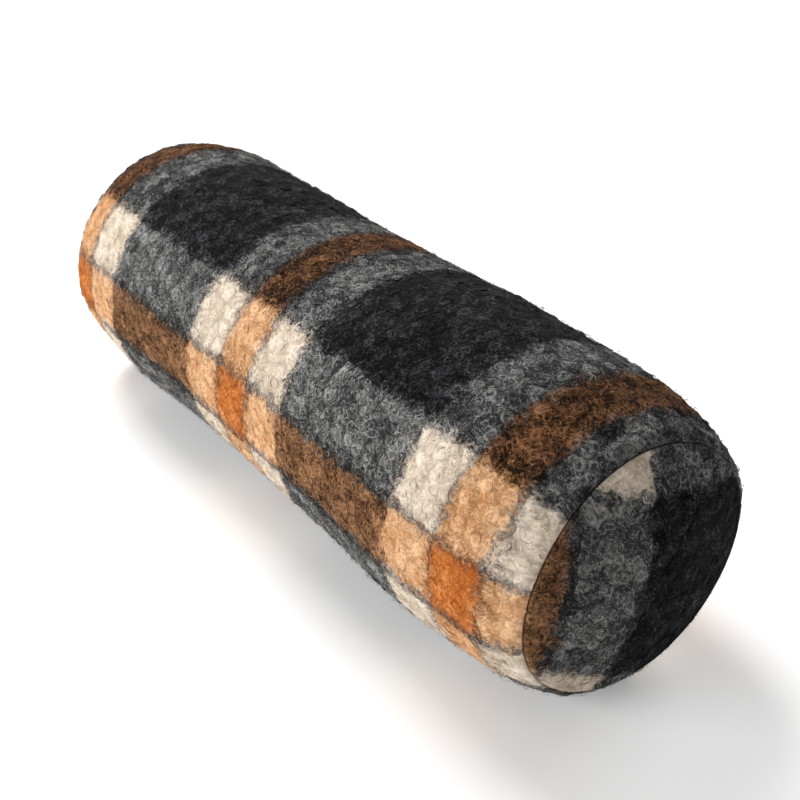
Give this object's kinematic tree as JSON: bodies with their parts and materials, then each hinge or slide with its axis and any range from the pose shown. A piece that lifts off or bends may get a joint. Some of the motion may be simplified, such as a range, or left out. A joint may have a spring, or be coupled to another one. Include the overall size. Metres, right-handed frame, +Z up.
{
  "type": "bolster cushion",
  "caption": "Round bolster cushion of curly wool plaid cloth, a stuffed tube with a domed round panel sewn into each end, lying on its long seam.",
  "frame": {"origin": "middle of the cushion's bounding box on the surface that it lies on", "axes": "+Z up; X along the bolster, +X at the end whose panel the picture shows; -Y the side that the picture shows"},
  "size_m": [0.591, 0.2064, 0.1912],
  "materials": {
    "plaid_wool": "thick curly wool cloth in a large plaid of black, cream and orange, matt with a soft fuzz",
    "plaid_wool_end": "the same curly wool plaid, cut as a round panel and turned a little from the tube's lines"
  },
  "bodies": {
    "root": {"stuffed_tube": "plaid_wool", "near_end_panel": "plaid_wool_end", "far_end_panel": "plaid_wool_end"}
  },
  "joints": []
}
